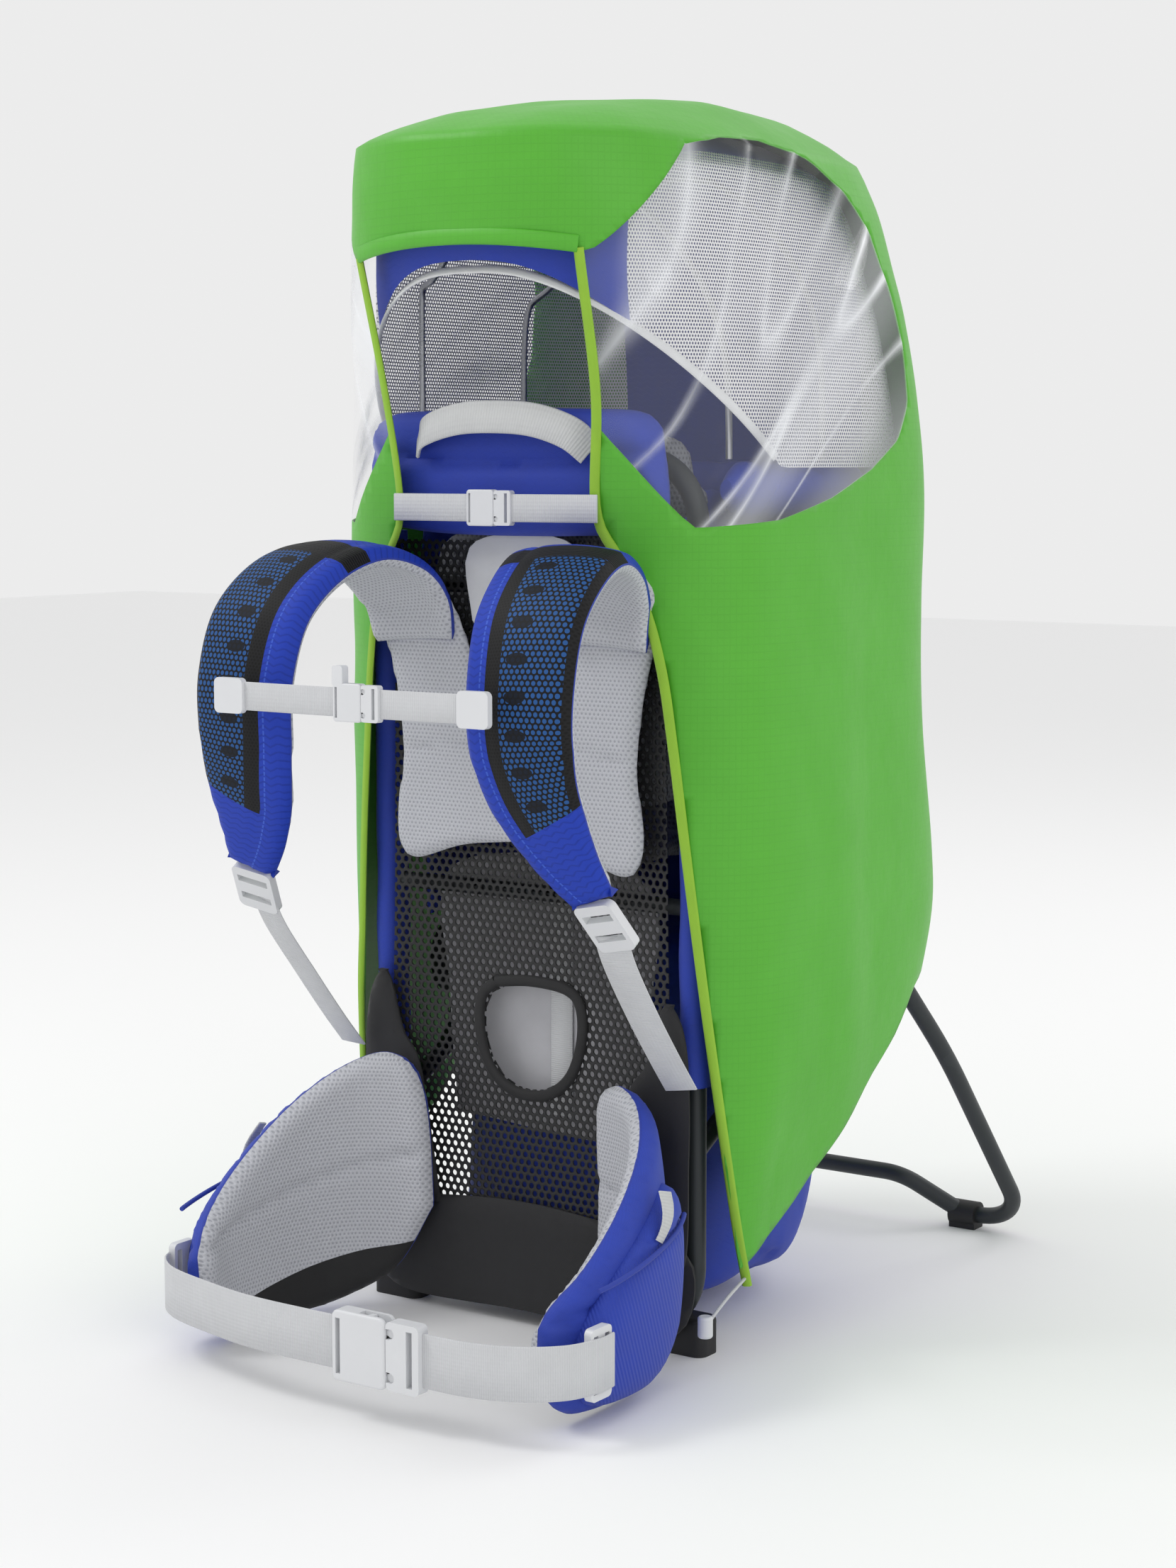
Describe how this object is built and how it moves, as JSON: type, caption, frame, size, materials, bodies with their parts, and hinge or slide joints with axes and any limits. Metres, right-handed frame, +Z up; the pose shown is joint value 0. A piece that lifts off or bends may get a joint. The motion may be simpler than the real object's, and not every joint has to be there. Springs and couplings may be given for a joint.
{
  "type": "framed child carrier backpack",
  "caption": "Framed child carrier backpack with kickstand, hip belt, shoulder harness, fold-out sunshade and a rain cover with clear side windows.",
  "frame": {"origin": "middle of the carrier's box on the floor", "axes": "+Z up, -Y towards the wearer, +Y towards the kickstand, X across the width"},
  "size_m": [0.4116, 0.7031, 0.922],
  "materials": {
    "frame_tube": "dark grey powder coat, satin",
    "black_plastic": "moulded black plastic",
    "steel_pin": "steel",
    "black_mesh": "open hexagonal mesh",
    "black_fabric": "black woven pack cloth",
    "blue_fabric": "royal blue pack cloth",
    "grey_spacer": "light grey spacer mesh",
    "label_white": "plain printed patch, no lettering",
    "webbing": "white-grey woven webbing",
    "white_plastic": "moulded white plastic",
    "white_mesh": "white open mesh",
    "cover_fabric": "lime green ripstop, slight sheen",
    "cover_binding": "yellow-green woven binding",
    "clear_film": "clear flexible film"
  },
  "bodies": {
    "frame": {"frame_hoop": "frame_tube", "side_tubes": "frame_tube", "crossbars": "frame_tube", "hinge_housings": "black_plastic", "hinge_pins": "steel_pin", "base_feet": "black_plastic", "back_mesh": "black_mesh", "hole_rim": "black_fabric", "bottom_band": "black_fabric", "top_panel": "blue_fabric", "label_patch": "label_white", "grab_handle": "webbing", "lower_bag": "blue_fabric", "side_walls": "blue_fabric", "rear_wall": "blue_fabric", "cockpit_rim": "blue_fabric", "face_pad": "grey_spacer", "child_front_pad": "grey_spacer", "child_harness": "grey_spacer", "sunshade_top": "blue_fabric", "sunshade_sides": "white_mesh", "sunshade_wires": "steel_pin", "hip_wing_right": "blue_fabric", "hip_wing_left": "blue_fabric", "tri_glides": "white_plastic", "hip_webbing_left": "webbing", "hip_buckle_socket": "white_plastic"},
    "kickstand": {"kickstand_tube": "frame_tube", "kickstand_feet": "black_plastic"},
    "seat": {"seat_pad": "grey_spacer"},
    "stirrup_right": {"stirrup_right": "black_fabric"},
    "stirrup_left": {"stirrup_left": "black_fabric"},
    "harness": {"yoke_pad": "grey_spacer", "shoulder_strap_right": "blue_fabric", "shoulder_strap_left": "blue_fabric", "ladder_locks": "white_plastic", "strap_webbings": "webbing"},
    "sternum_strap": {"sternum_sliders": "white_plastic", "sternum_webbing_left": "webbing", "sternum_buckle_socket": "white_plastic"},
    "sternum_plug": {"sternum_buckle_plug": "white_plastic", "sternum_webbing_right": "webbing"},
    "sternum_prong_upper": {"sternum_buckle_prong_upper": "white_plastic"},
    "sternum_prong_lower": {"sternum_buckle_prong_lower": "white_plastic"},
    "hip_plug": {"hip_buckle_plug": "white_plastic", "hip_webbing_right": "webbing"},
    "hip_prong_upper": {"hip_buckle_prong_upper": "white_plastic"},
    "hip_prong_lower": {"hip_buckle_prong_lower": "white_plastic"},
    "rain_cover": {"rain_cover_shell": "cover_fabric", "cover_binding": "cover_binding", "rain_windows": "clear_film", "hem_toggle": "white_plastic", "neck_webbing_left": "webbing", "neck_buckle_socket": "white_plastic"},
    "neck_plug": {"neck_buckle_plug": "white_plastic", "neck_webbing_right": "webbing"},
    "neck_prong_upper": {"neck_buckle_prong_upper": "white_plastic"},
    "neck_prong_lower": {"neck_buckle_prong_lower": "white_plastic"}
  },
  "joints": [
    {"name": "kickstand_fold", "type": "hinge", "parent": "frame", "child": "kickstand", "pos_m": [0, 0.067, 0.345], "axis": [-1, 0, 0], "range_deg": [0, 24]},
    {"name": "seat_height", "type": "slide", "parent": "frame", "child": "seat", "axis": [0, 0, 1], "range_m": [-0.02, 0.03]},
    {"name": "stirrup_right_length", "type": "slide", "parent": "frame", "child": "stirrup_right", "axis": [0, 0, 1], "range_m": [-0.018, 0]},
    {"name": "stirrup_left_length", "type": "slide", "parent": "frame", "child": "stirrup_left", "axis": [0, 0, 1], "range_m": [-0.018, 0]},
    {"name": "harness_height", "type": "slide", "parent": "frame", "child": "harness", "axis": [0, 0, 1], "range_m": [-0.08, 0], "deforming": ["strap_webbings"]},
    {"name": "sternum_height", "type": "slide", "parent": "harness", "child": "sternum_strap", "axis": [0, 0, 1], "range_m": [-0.02, 0.02]},
    {"name": "sternum_release", "type": "slide", "parent": "sternum_strap", "child": "sternum_plug", "axis": [1, 0, 0], "range_m": [0, 0.016], "deforming": ["sternum_webbing_right"]},
    {"name": "hip_release", "type": "slide", "parent": "frame", "child": "hip_plug", "axis": [1, 0, 0], "range_m": [0, 0.03], "deforming": ["hip_webbing_right"]},
    {"name": "rain_cover_lift", "type": "slide", "parent": "frame", "child": "rain_cover", "axis": [0, 0, 1], "range_m": [0, 0.95], "deforming": ["sunshade_sides"]},
    {"name": "neck_release", "type": "slide", "parent": "rain_cover", "child": "neck_plug", "axis": [1, 0, 0], "range_m": [0, 0.016], "deforming": ["neck_webbing_right"]},
    {"name": "hip_prong_upper_press", "type": "hinge", "parent": "hip_plug", "child": "hip_prong_upper", "pos_m": [0.064, -0.345, 0.0674], "axis": [0, -1, 0], "range_deg": [0, 5], "stiffness_Nm_per_rad": 0.05},
    {"name": "hip_prong_lower_press", "type": "hinge", "parent": "hip_plug", "child": "hip_prong_lower", "pos_m": [0.064, -0.345, 0.0366], "axis": [0, 1, 0], "range_deg": [0, 5], "stiffness_Nm_per_rad": 0.05},
    {"name": "sternum_prong_upper_press", "type": "hinge", "parent": "sternum_plug", "child": "sternum_prong_upper", "pos_m": [0.01611, -0.311, 0.49711], "axis": [0, -1, 0], "range_deg": [0, 5], "stiffness_Nm_per_rad": 0.05},
    {"name": "sternum_prong_lower_press", "type": "hinge", "parent": "sternum_plug", "child": "sternum_prong_lower", "pos_m": [0.01611, -0.311, 0.48089], "axis": [0, 1, 0], "range_deg": [0, 5], "stiffness_Nm_per_rad": 0.05},
    {"name": "neck_prong_upper_press", "type": "hinge", "parent": "neck_plug", "child": "neck_prong_upper", "pos_m": [0.00811, -0.148, 0.62711], "axis": [0, -1, 0], "range_deg": [0, 5], "stiffness_Nm_per_rad": 0.05},
    {"name": "neck_prong_lower_press", "type": "hinge", "parent": "neck_plug", "child": "neck_prong_lower", "pos_m": [0.00811, -0.148, 0.61089], "axis": [0, 1, 0], "range_deg": [0, 5], "stiffness_Nm_per_rad": 0.05}
  ]
}
